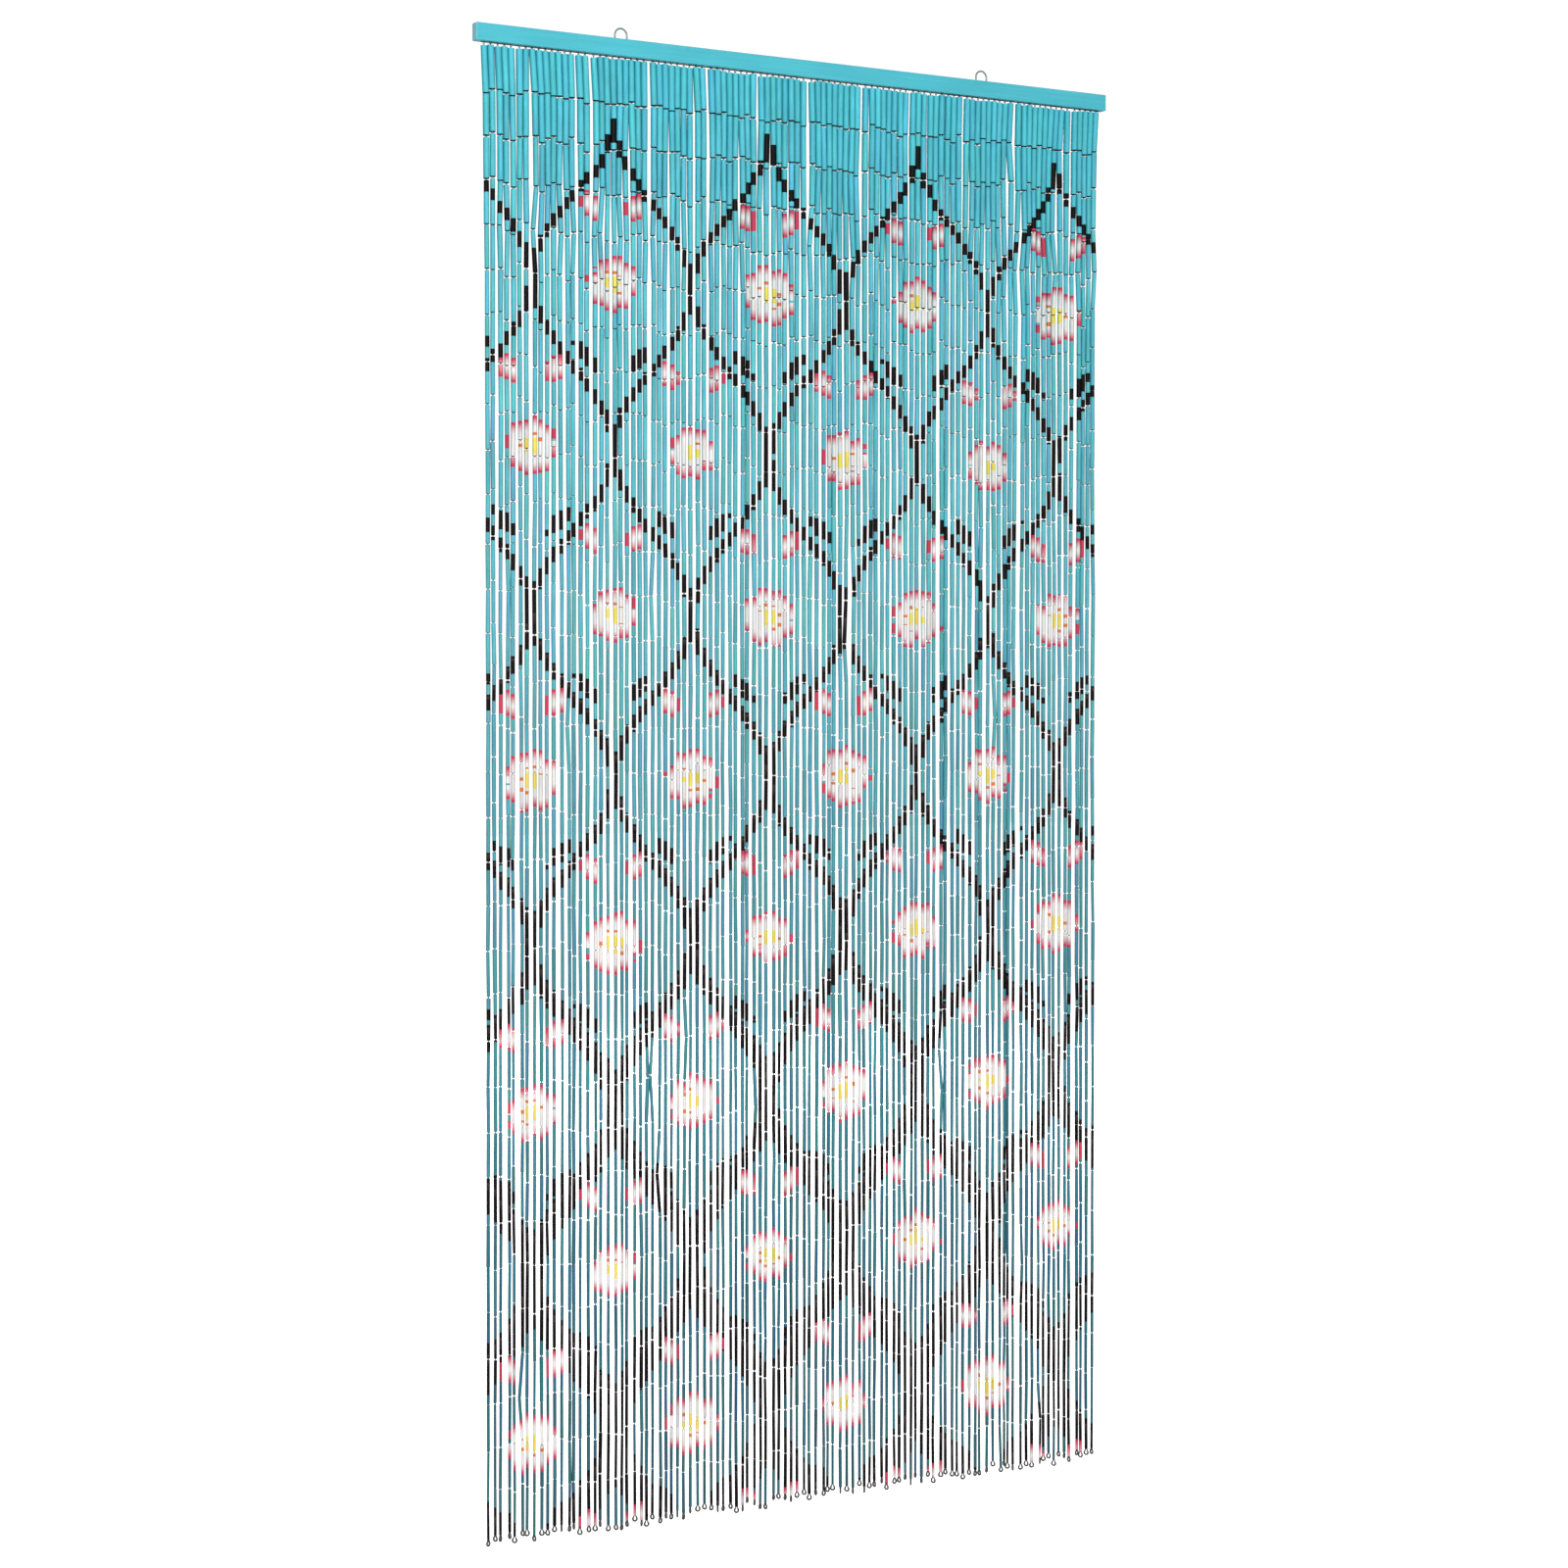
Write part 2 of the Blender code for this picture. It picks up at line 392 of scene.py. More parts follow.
def huddled(middles, widths, huddle, starts, draw):
    """Draws strings together in bunches, and says which of them start a bunch."""
    kept = starts & (draw.uniform(size=STRINGS) < huddle.kept)
    starts = kept | (draw.uniform(size=STRINGS) < huddle.split)
    starts[0] = True
    for n in range(HUDDLE_MOST, STRINGS):
        starts[n] |= not starts[n - HUDDLE_MOST + 1:n].any()
    moved = middles.copy()
    for bunch in np.split(np.arange(STRINGS), np.flatnonzero(starts)[1:]):
        steps = (widths[bunch][:-1] + widths[bunch][1:]) / 2 + HUDDLE_GAP
        places = np.append(0, np.cumsum(steps))
        places += middles[bunch].mean() - places.mean()
        moved[bunch] += huddle.pull * (places - middles[bunch])
    return moved, starts


def make_tracks(rows, draw):
    """The X, Y and width of every string at many shares of the way down."""
    downs = [section.down for section in SECTIONS]
    levels = sorted({*downs, *(huddle.down for huddle in HUDDLES)})
    tracks = np.array([
        [[np.interp(level, downs, [row[part][n] for row in rows]) for level in levels]
         for n in range(STRINGS)]
        for part in range(3)
    ])
    tracks[2] *= np.interp(levels, SWOLLEN_DOWN, SWOLLEN_BY)
    starts = np.zeros(STRINGS, bool)
    shifts = np.zeros(STRINGS)
    for huddle in HUDDLES:
        place = levels.index(huddle.down)
        middles, widths = tracks[0, :, place], tracks[2, :, place]
        moved, starts = huddled(middles, widths, huddle, starts, draw)
        shifts = huddle.hold * shifts + (1 - huddle.hold) * (moved - middles)
        tracks[0, :, place] = hold_apart(middles + shifts, widths, HUDDLE_GAP)
    return levels, tracks


def string_tubes(number, levels, tracks, links, ends, draw):
    """The tubes of one string: their end points, radii and tints."""
    top = STRIP_TOP - STRIP_HEIGHT - links[number]
    bottom = ends[number] + RING_WIDTH + RING_LINK
    lengths = 1 + TUBE_SPREAD * draw.normal(size=TUBES)
    gaps = TUBE_GAP * (1 + TUBE_GAP_SPREAD * draw.uniform(-1, 1, TUBES - 1))
    lengths *= (top - bottom - gaps.sum()) / lengths.sum()
    starts = top - np.concatenate([[0], np.cumsum(lengths[:-1] + gaps)])
    joints = np.append(starts, bottom)
    share = (top - joints) / (top - bottom)
    along, across, widths = (np.interp(share, levels, track[number]) for track in tracks)
    lean = np.interp(share, LEAN_DOWN, LEAN)
    along = along + lean * draw.normal(size=TUBES + 1)
    along = along + swings_of(number, share, levels, tracks[0], widths, draw)
    across = across + lean * draw.normal(size=TUBES + 1)
    vary = np.interp(share[:-1], (0, 1), (TUBE_VARY_TOP, TUBE_VARY_FOOT))
    stray = np.clip(draw.normal(size=TUBES), -TUBE_VARY_MOST, TUBE_VARY_MOST)
    radii = widths[:-1] / 2 * (1 + vary * stray)
    tapers = TUBE_TAPER * draw.normal(size=TUBES)
    tints = draw.normal(size=(TUBES, 4))
    tubes = []
    for n in range(TUBES):
        end = starts[n] - lengths[n]
        reach = lengths[n] / (joints[n] - joints[n + 1])
        end_x = along[n] + reach * (along[n + 1] - along[n])
        end_y = across[n] + reach * (across[n + 1] - across[n])
        tubes.append(Tube(
            number,
            (along[n], across[n], starts[n]),
            (end_x, end_y, end),
            radii[n] * (1 + tapers[n]),
            radii[n] * (1 - tapers[n]),
            tints[n],
        ))
    return tubes


def swings_of(number, share, levels, places, widths, draw):
    """How far a few joints of a string swing over towards a neighbour."""
    stray = np.zeros(TUBES + 1)
    side = draw.choice([-1, 1], TUBES + 1)
    swings = draw.uniform(size=TUBES + 1) < KINK_SHARE
    reach = draw.uniform(*KINK_REACH, TUBES + 1)
    for n in np.flatnonzero(swings):
        other = number + side[n]
        if 0 <= other < STRINGS:
            here = np.interp(share[n], levels, places[number])
            there = np.interp(share[n], levels, places[other])
            room = abs(there - here) - widths[n]
            stray[n] = side[n] * max(room, 0) * reach[n]
    return stray


def inside_leaf(x, z, middle, length, width, lean):
    """True inside a pointed leaf whose length leans from upright."""
    along = (x - middle[0]) * math.sin(lean) + (z - middle[1]) * math.cos(lean)
    across = (x - middle[0]) * math.cos(lean) - (z - middle[1]) * math.sin(lean)
    share = np.clip(np.abs(along) / (length / 2), 0, 1)
    return np.abs(across) < width / 2 * (1 - share**2)


def deep_inside(mask, steps):
    """The part of a painted patch that lies further than some steps from its ends on a string."""
    padded = np.pad(mask, ((0, 0), (steps, steps)))
    return mask & padded[:, : mask.shape[1]] & padded[:, 2 * steps:]


def paint_blossom(kinds, mask):
    """A white patch with rosy ends on each string, which fade into the white."""
    kinds[mask] = TIP
    kinds[deep_inside(mask, TIP_STEPS)] = BLUSH
    kinds[deep_inside(mask, TIP_STEPS + BLUSH_STEPS)] = PETAL


def stem_width(z):
    """The stems' width, which grows towards the foot of the curtain."""
    return np.interp(z, STEM_HEIGHTS, STEM_WIDTHS)


def stem_place(number, z):
    """Where a stem of the trellis runs, and how steeply it leans there."""
    turn = 2 * math.pi / CELL_HEIGHT
    swing = CELL_WIDTH / 4 * (-1) ** number
    middle = (number - (STEMS - 1) / 2) * CELL_WIDTH / 2
    fall = turn * (z - DESIGN_TOP)
    return middle + swing * np.cos(fall), -swing * turn * np.sin(fall)


def paint_stems(kinds, x, z):
    """The trellis: dark stems, paler along the upper side where they are thick."""
    half = stem_width(z) / 2
    below = z < DESIGN_TOP
    for number in range(STEMS):
        place, slope = stem_place(number, z)
        off = (x - place) / np.sqrt(1 + slope**2)
        kinds[(np.abs(off) < half) & below] = STEM
        high_side = off * np.where(slope < 0, 1, -1)
        streak = (high_side > half * STREAK_FROM) & (high_side < half * STREAK_TO)
        kinds[streak & (half > STREAK_LEAST) & below] = BARK


def paint_daisy(kinds, x, z, middle, radius, turn):
    """One open daisy: white petals with rosy tips, and a yellow middle with spots."""
    away = np.hypot(x - middle[0], z - middle[1])
    angle = np.arctan2(z - middle[1], x - middle[0]) + turn
    lobes = np.abs(np.cos(angle * DAISY_PETALS / 2)) ** DAISY_ROUND
    paint_blossom(kinds, away < radius * (DAISY_NOTCH + (1 - DAISY_NOTCH) * lobes))
    crests = np.cos(angle * DAISY_PETALS) > SPOTS_CREST
    kinds[(away < radius * SPOTS_REACH) & crests] = SPOT
    kinds[away < radius * EYE_RIM] = PETAL
    kinds[away < radius * EYE] = CENTRE


def paint_kinds(x, z):
    """Which paint lies at each place of the curtain."""
    kinds = np.full(x.shape, GROUND)
    paint_stems(kinds, x, z)
    rows = int(DROP / CELL_HEIGHT) + 2
    draw = np.random.RandomState(TUBE_SEED)
    for number in range(STEMS - 1):
        middle_x = (number - (STEMS - 2) / 2) * CELL_WIDTH / 2
        first = CELL_HEIGHT / 2 if number % 2 == 0 else CELL_HEIGHT
        for row in range(rows):
            middle_z = DESIGN_TOP - first - row * CELL_HEIGHT
            for side in (-1, 1):
                leaf = (middle_x + side * LEAF_PLACE[0], middle_z + LEAF_PLACE[1])
                lean = side * LEAF_LEAN
                kinds[inside_leaf(x, z, leaf, LEAF_LENGTH, LEAF_WIDTH, lean)] = STEM
                bud = (middle_x + side * BUD_PLACE[0], middle_z + BUD_PLACE[1])
                lean = side * BUD_LEAN
                paint_blossom(kinds, inside_leaf(x, z, bud, BUD_LENGTH, BUD_WIDTH, lean))
            radius = DAISY_RADIUS * draw.uniform(*DAISY_SPREAD)
            paint_daisy(kinds, x, z, (middle_x, middle_z), radius, draw.uniform(0, 1))
    return kinds


def string_bands(draw):
    """For each string, the heights where its paint changes and the paints between them."""
    z = -np.arange(0, DROP + BAND_STEP, BAND_STEP)
    columns = (np.arange(STRINGS) - (STRINGS - 1) / 2) * COLUMN_PITCH
    shifts = PAINT_SHIFT * draw.normal(size=STRINGS)
    kinds = paint_kinds(
        np.repeat(columns[:, None], len(z), axis=1),
        z[None, :] + shifts[:, None],
    )
    bands = []
    for row in kinds:
        starts = np.flatnonzero(np.diff(row)) + 1
        starts = np.append(0, starts)
        lengths = np.diff(np.append(starts, len(row))) * BAND_STEP
        kept = starts[lengths >= LEAST_BAND]
        paints = row[kept]
        news = np.append(True, paints[1:] != paints[:-1])
        bands.append((z[kept[news]][1:], paints[news]))
    return bands


def shaded_ground_colour(z):
    """The turquoise ground, which darkens on its way down as painted shade for the light falling
    off towards the foot.
    """
    share = np.clip(-z / DROP, 0, 1)
    return np.array([np.interp(share, GROUND_DOWN, GROUND_SHADED_COLOURS[:, n]) for n in range(3)])


def paint_colour(kind, z, tint):
    """A paint's colour at a height, a little different on each tube."""
    base = shaded_ground_colour(z) if kind == GROUND else PAINTS[kind]
    share = min(-z / DROP, 1)
    value = 1 + np.interp(share, TINT_DOWN, VALUE_SPREAD) * tint[0]
    hue_spread = np.interp(share, TINT_DOWN, HUE_SPREAD) * (1 if kind == GROUND else MOTIF_HUE)
    hue = 1 + hue_spread * tint[1:]
    return np.clip(base * value * hue, 0, 1)


def band_colours(kinds, heights, tint):
    """The colours at each band's top and foot. Blush fades to its neighbours, bark to the stem."""
    colours = []
    for n, kind in enumerate(kinds):
        top, foot = heights[n], heights[n + 1]
        before = kinds[n - 1] if n > 0 else kind
        after = kinds[n + 1] if n + 1 < len(kinds) else kind
        start, end = kind, kind
        if kind == BLUSH and before in (TIP, PETAL):
            start = before
        if kind == BLUSH and after in (TIP, PETAL):
            end = after
        if kind == BARK:
            end = STEM
        colours.append((paint_colour(start, top, tint), paint_colour(end, foot, tint)))
    return colours


# One ring round a tube: its place, its radius, and for the faces after it their colours at
# this ring and at the next, and their place on the map
Ring = namedtuple("Ring", "share radius colour colour_next map_start map_end")


def tube_rings(tube, bands):
    """The rings of one tube: down its outside, round its end and back up its hollow."""
    cuts, paints = bands[tube.string]
    top, bottom = tube.top[2], tube.bottom[2]
    length = top - bottom
    edge = TUBE_EDGE / length
    foot_shade_edge = np.interp(-top / DROP, FOOT_SHADE_DOWN, FOOT_SHADE_EDGE) / length
    near_top = top - END_CLEAR * TUBE_EDGE
    near_bottom = bottom + max(END_CLEAR * TUBE_EDGE, FOOT_SHADE_CLEAR * foot_shade_edge * length)
    first = np.count_nonzero(cuts > near_top)
    inside = cuts[(cuts <= near_top) & (cuts >= near_bottom)]
    kinds = paints[first:first + len(inside) + 1]
    colours = band_colours(kinds, [top, *inside, bottom], tube.tint)
    shares = [edge, *((top - inside) / length), 1 - foot_shade_edge]

    def outer(share):
        return tube.radius_top + share * (tube.radius_bottom - tube.radius_top)

    def wall_map(share):
        return np.interp(share, (0, 1), MAP_WALL)

    hollow_share = np.interp(-top / DROP, HOLLOW_DOWN, (HOLLOW_TOP, HOLLOW_FOOT))
    hollow = hollow_share * min(tube.radius_top, tube.radius_bottom)
    rim_top = (1 - RIM_BARE) * colours[0][0] + RIM_BARE * BARE_CANE
    # Painted shade: the lower rim, the foot edge and the hollow are darkened like a tube's end in
    # shade
    rim_bottom_shade = RIM_PAINTED_SHADE * colours[-1][1]
    rings = [Ring(0, outer(0) - TUBE_EDGE, rim_top, colours[0][0], *MAP_RIM_TOP)]
    for n, (start, end) in enumerate(zip(shares, shares[1:])):
        rings.append(Ring(start, outer(start), *colours[n], wall_map(start), wall_map(end)))
    rings.append(Ring(1 - foot_shade_edge, outer(1), rim_bottom_shade, rim_bottom_shade, *MAP_FOOT_SHADE))
    rings.append(Ring(1, outer(1) - TUBE_EDGE, rim_bottom_shade, rim_bottom_shade, *MAP_RIM_FOOT))
    rings.append(Ring(1, hollow, HOLLOW_PAINTED_SHADE, HOLLOW_PAINTED_SHADE, *MAP_END))
    rings.append(Ring(0, hollow, rim_top, rim_top, *MAP_HOLLOW))
    return rings


def ring_table(tubes, bands):
    """Every ring of many tubes: its centre, radius, colours, the ring after it and its map cell."""
    lines = math.ceil(len(tubes) / MAP_COLUMNS)
    centres, radii, colours, after, maps = [], [], [], [], []
    for number, tube in enumerate(tubes):
        rings = tube_rings(tube, bands)
        first = len(centres)
        column, line = number % MAP_COLUMNS, number // MAP_COLUMNS
        left, right = column / MAP_COLUMNS, (column + TUBE_MAP_FILL) / MAP_COLUMNS
        for n, ring in enumerate(rings):
            centre = [a + ring.share * (b - a) for a, b in zip(tube.top, tube.bottom)]
            centres.append(centre)
            radii.append(ring.radius)
            colours.append((ring.colour, ring.colour_next, ring.colour_next, ring.colour))
            after.append(first + (n + 1) % len(rings))
            low, high = (line + ring.map_start) / lines, (line + ring.map_end) / lines
            maps.append((left, right, 1 - low, 1 - high))
    return [np.array(part) for part in (centres, radii, colours, after, maps)]


def paint_with_side_shade(colours, heights, turns):
    """The paint at the corners of many tubes' faces, darkened on the tubes' two sides by painted
    shade for the crevices between tubes.
    """
    downs = np.clip(-heights / DROP, 0, 1)
    left_by_shade = [np.interp(downs, SIDE_SHADE_DOWN, SIDE_LEFT_BY_SHADE[:, n]) for n in range(3)]
    side_shade = 1 - np.stack(left_by_shade, axis=1)
    sideways = np.cos(turns) ** SIDE_SHADE_POWER
    after_it = np.roll(sideways, -1)
    corner_sides = np.stack([sideways, sideways, after_it, after_it], axis=1)
    paint = np.repeat(colours[:, None], TUBE_SIDES, axis=1)
    # Painted shade: the sides that face the neighbouring tubes are darkened, as the crevices
    # between tubes
    paint = paint * (1 - corner_sides[None, :, :, None] * side_shade[:, None, None, :])
    return paint.reshape(-1, 3)


def tube_map(maps):
    """Where the corners of many tubes' faces lie on the map."""
    left, right, low, high = (maps[:, None, n] for n in range(4))
    side = np.arange(TUBE_SIDES)[None, :]
    u_now = left + (right - left) * side / TUBE_SIDES
    u_soon = left + (right - left) * (side + 1) / TUBE_SIDES
    low, high = low + 0 * u_now, high + 0 * u_now
    corners = [(u_now, low), (u_now, high), (u_soon, high), (u_soon, low)]
    points = np.stack([np.stack(corner, axis=2) for corner in corners], axis=2)
    return points.reshape(-1, 2)


def tube_piece(name, tubes, bands, material):
    """Many tubes as one object, each a closed hollow tube with its own bands of paint."""
    centres, radii, colours, after, maps = ring_table(tubes, bands)
    sides = np.arange(TUBE_SIDES)
    turns = 2 * math.pi * sides / TUBE_SIDES
    round_part = np.stack([np.cos(turns), np.sin(turns), np.zeros(TUBE_SIDES)], axis=1)
    verts = centres[:, None, :] + radii[:, None, None] * round_part[None, :, :]
    here = np.arange(len(centres))[:, None] * TUBE_SIDES
    there = after[:, None] * TUBE_SIDES
    now, soon = sides[None, :], (sides[None, :] + 1) % TUBE_SIDES
    faces = np.stack([here + now, there + now, there + soon, here + soon], axis=2)
    paint = paint_with_side_shade(colours, centres[:, 2], turns)
    points = tube_map(maps)
    item = make_mesh(name, verts.reshape(-1, 3), faces.reshape(-1, 4), material, paint, points)
    item.data.shade_smooth()
    item.data.set_sharp_from_angle(angle=TUBE_SHARP)
    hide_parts("strands")
    return item


def wire_points(routes, facings, radius, sides, closed):
    """The points round many wires."""
    if closed:
        ways = np.roll(routes, -1, axis=1) - np.roll(routes, 1, axis=1)
    else:
        ways = np.gradient(routes, axis=1)
    ways /= np.linalg.norm(ways, axis=2, keepdims=True)
    out = np.repeat(facings[:, None, :], routes.shape[1], axis=1)
    inward = np.cross(out, ways)
    turns = 2 * math.pi * np.arange(sides) / sides
    verts = routes[:, :, None, :] + radius * (
        np.cos(turns)[None, None, :, None] * inward[:, :, None, :]
        + np.sin(turns)[None, None, :, None] * out[:, :, None, :]
    )
    return verts.reshape(-1, 3)


def wire_faces(count, steps, spans, sides):
    """The faces round many wires, in the order of their points."""
    first = np.arange(count)[:, None] * steps
    here = (first + np.arange(spans)[None, :]) * sides
    there = (first + (np.arange(spans)[None, :] + 1) % steps) * sides
    now = np.arange(sides)
    soon = (now + 1) % sides
    faces = np.stack([
        here[:, :, None] + now,
        here[:, :, None] + soon,
        there[:, :, None] + soon,
        there[:, :, None] + now,
    ], axis=3)
    return faces.reshape(-1, 4)


def wire_map(count, spans, sides):
    """Where the corners of many wires' faces lie on the map, in one cell for each wire."""
    across = math.ceil(math.sqrt(count))
    cell_u = (np.arange(count) % across)[:, None, None] / across
    cell_v = (np.arange(count) // across)[:, None, None] / across
    step_v = np.arange(spans)[None, :, None] / spans
    side = np.arange(sides)[None, None, :]
    size = WIRE_MAP_FILL / across
    u_now = cell_u + size * side / sides + 0 * step_v
    u_soon = cell_u + size * (side + 1) / sides + 0 * step_v
    v_now = cell_v + size * step_v + 0 * u_now
    v_soon = v_now + size / spans
    corners = [(u_now, v_now), (u_soon, v_now), (u_soon, v_soon), (u_now, v_soon)]
    points = np.stack([np.stack(corner, axis=3) for corner in corners], axis=3)
    return points.reshape(-1, 2)


def wire_piece(name, routes, facings, radius, sides, closed, material):
    """Many wires as one object. Each route lies in a plane whose facing is given."""
    count, steps, _ = routes.shape
    spans = steps if closed else steps - 1
    verts = wire_points(routes, facings, radius, sides, closed)
    faces = wire_faces(count, steps, spans, sides)
    item = make_mesh(name, verts, faces, material, None, wire_map(count, spans, sides))
    if not closed:
        close_ends(item)
    item.data.shade_smooth()
    return item


def close_ends(item):
    """Fills the open ends of a wire's tube."""
    bm = bmesh.new()
    bm.from_mesh(item.data)
    rims = [edge for edge in bm.edges if edge.is_boundary]
    bmesh.ops.holes_fill(bm, edges=rims, sides=0)
    bm.to_mesh(item.data)
    bm.free()


def eyelet_route(steps):
    """A wire eyelet's outline in shares of its half width and depth: two legs and a half turn."""
    turns = np.linspace(0, math.pi, steps + 1)
    arch = [(-math.cos(turn), -math.sin(turn)) for turn in turns]
    return np.array([(-1, EYELET_LEG), *arch, (1, EYELET_LEG)])


def eyelets(centres, widths, depths, turns, upward):
    """Routes of many eyelets that hang down, or stand up, from their places."""
    shape = eyelet_route(EYELET_STEPS)
    sign = -1 if upward else 1
    along = np.stack([np.cos(turns), np.sin(turns), np.zeros(len(turns))], axis=1)
    facing = np.stack([-np.sin(turns), np.cos(turns), np.zeros(len(turns))], axis=1)
    routes = (
        centres[:, None, :]
        + along[:, None, :] * (widths[:, None] * shape[None, :, 0])[:, :, None]
        + np.array((0, 0, sign)) * (depths[:, None] * shape[None, :, 1])[:, :, None]
    )
    return routes, facing * sign


def joint_eyelets(tubes_of_strings, draw):
    """The two eyelets that hook into each other at every joint, and those at the rail."""
    places, widths, depths, turns = [], [], [], []
    for tubes in tubes_of_strings:
        for upper, lower in zip([None, *tubes], tubes):
            radius = lower.radius_top * HOLLOW_FOOT
            high = lower.top if upper is None else upper.bottom
            if upper is None:
                high = (lower.top[0], lower.top[1], STRIP_TOP)
            else:
                radius = min(radius, upper.radius_bottom * HOLLOW_FOOT)
            gap = high[2] - lower.top[2]
            places.append((high, lower.top))
            widths.append(min(radius * EYELET_SHARE, EYELET_MOST))
            depths.append(gap / 2 + EYELET_HOOK * EYELET_RADIUS)
            turns.append(draw.uniform(0, math.pi))
    places, widths, depths, turns = map(np.array, (places, widths, depths, turns))
    hung, hung_facing = eyelets(places[:, 0], widths, depths, turns, False)
    stood, stood_facing = eyelets(places[:, 1], widths, depths, turns + math.pi / 2, True)
    return np.concatenate([hung, stood]), np.concatenate([hung_facing, stood_facing])


def foot_ring_routes(tubes_of_strings, ends, draw):
    """The foot rings' outlines, each drawn up to a point where it enters its tube."""
    turns = np.where(np.arange(STRINGS) % 2 == 0, 0, math.pi / 2)
    turns = turns + draw.uniform(-RING_TURN, RING_TURN, STRINGS)
    radius = (RING_WIDTH - RING_WIRE) / 2
    neck = RING_WIDTH / 2 + RING_LINK
    opening = math.acos(radius / neck)
    sweep = np.linspace(opening, 2 * math.pi - opening, RING_STEPS)
    shape = [(radius * math.sin(turn), radius * math.cos(turn)) for turn in sweep]
    across, up = np.array([(0, neck + RING_WIRE / 2), *shape]).T
    feet = np.array([tubes[-1].bottom for tubes in tubes_of_strings])
    middles = np.stack([feet[:, 0], feet[:, 1], ends + RING_WIDTH / 2], axis=1)
    along = np.stack([np.cos(turns), np.sin(turns), np.zeros(STRINGS)], axis=1)
    facing = np.stack([np.sin(turns), -np.cos(turns), np.zeros(STRINGS)], axis=1)
    rings = (
        middles[:, None, :]
        + across[None, :, None] * along[:, None, :]
        + up[None, :, None] * np.array((0, 0, 1))
    )
    return rings, -facing


def hanger_route(place):
    """The outline of one hanging loop: two legs in the rail and a round arch above it."""
    reach = (LOOP_WIDTH - LOOP_WIRE) / 2
    middle = LOOP_RISE - LOOP_WIDTH / 2
    legs = [(-reach, z) for z in np.linspace(-LOOP_LEG, middle, LOOP_LEG_STEPS)[:-1]]
    turns = np.linspace(0, math.pi, LOOP_STEPS)
    arch = [(-reach * math.cos(turn), middle + reach * math.sin(turn)) for turn in turns]
    back = [(-x, z) for x, z in reversed(legs)]
    return np.array([(place + x, 0, z) for x, z in [*legs, *arch, *back]])


def new_material(name):
    """An empty node material, its tree and its shader."""
    material = bpy.data.materials.new(name)
    material.use_nodes = True
    tree = material.node_tree
    return material, tree, tree.nodes["Principled BSDF"]


def noise_of(tree, kind):
    """Noise in the object's own space, stretched along an axis."""
    place = tree.nodes.new("ShaderNodeTexCoord")
    mapping = tree.nodes.new("ShaderNodeMapping")
    mapping.inputs["Scale"].default_value = kind.stretch
    noise = tree.nodes.new("ShaderNodeTexNoise")
    noise.inputs["Scale"].default_value = kind.scale
    noise.inputs["Detail"].default_value = kind.detail
    tree.links.new(place.outputs["Object"], mapping.inputs["Vector"])
    tree.links.new(mapping.outputs["Vector"], noise.inputs["Vector"])
    return noise.outputs["Fac"]


def spread_over(tree, noise, span):
    """A noise's value spread over a new range."""
    spread = tree.nodes.new("ShaderNodeMapRange")
    spread.inputs["From Min"].default_value = NOISE_SPAN[0]
    spread.inputs["From Max"].default_value = NOISE_SPAN[1]
    spread.inputs["To Min"].default_value = span[0]
    spread.inputs["To Max"].default_value = span[1]
    tree.links.new(noise, spread.inputs["Value"])
    return spread.outputs["Result"]


def times(tree, colour, value):
    """A colour made lighter or darker by a value."""
    mix = tree.nodes.new("ShaderNodeVectorMath")
    mix.operation = "SCALE"
    tree.links.new(colour, mix.inputs[0])
    tree.links.new(value, mix.inputs["Scale"])
    return mix.outputs["Vector"]


def add_bump(tree, shader, noise, strength):
    """Lets a noise stand out as fine marks."""
    bump = tree.nodes.new("ShaderNodeBump")
    bump.inputs["Strength"].default_value = strength
    bump.inputs["Distance"].default_value = MARK_HEIGHT
    tree.links.new(noise, bump.inputs["Height"])
    tree.links.new(bump.outputs["Normal"], shader.inputs["Normal"])


def tube_material():
    """Thin satin paint on cane: the bands' colours, with their painted shade, over a fine grain
    along the tube.
    """
    material, tree, shader = new_material("painted_cane")
    paint = tree.nodes.new("ShaderNodeAttribute")
    paint.attribute_name = "paint"
    grain = noise_of(tree, CANE_GRAIN)
    cloud = noise_of(tree, CANE_CLOUD)
    colour = times(tree, paint.outputs["Color"], spread_over(tree, grain, CANE_GRAIN_SHADES))
    colour = times(tree, colour, spread_over(tree, cloud, CANE_CLOUD_SHADES))
    tree.links.new(colour, shader.inputs["Base Color"])
    tree.links.new(spread_over(tree, grain, CANE_ROUGHNESS), shader.inputs["Roughness"])
    shader.inputs["Specular IOR Level"].default_value = CANE_GLOSS
    add_bump(tree, shader, grain, CANE_MARKS)
    return material


def worn_ends(tree, colour):
    """Lets grey end grain show through the paint at the rail's two sawn ends."""
    place = tree.nodes.new("ShaderNodeTexCoord")
    parts = tree.nodes.new("ShaderNodeSeparateXYZ")
    tree.links.new(place.outputs["Object"], parts.inputs["Vector"])
    reach = tree.nodes.new("ShaderNodeMath")
    reach.operation = "ABSOLUTE"
    tree.links.new(parts.outputs["X"], reach.inputs[0])
    near_end = tree.nodes.new("ShaderNodeMapRange")
    near_end.inputs["From Min"].default_value = rail_high.x - END_FADE[0]
    near_end.inputs["From Max"].default_value = rail_high.x - END_FADE[1]
    near_end.inputs["To Max"].default_value = END_WEAR
    tree.links.new(reach.outputs["Value"], near_end.inputs["Value"])
    mix = tree.nodes.new("ShaderNodeMix")
    mix.data_type = "RGBA"
    mix.inputs["B"].default_value = (*END_GRAIN, 1)
    tree.links.new(near_end.outputs["Result"], mix.inputs["Factor"])
    tree.links.new(colour, mix.inputs["A"])
    return mix.outputs["Result"]


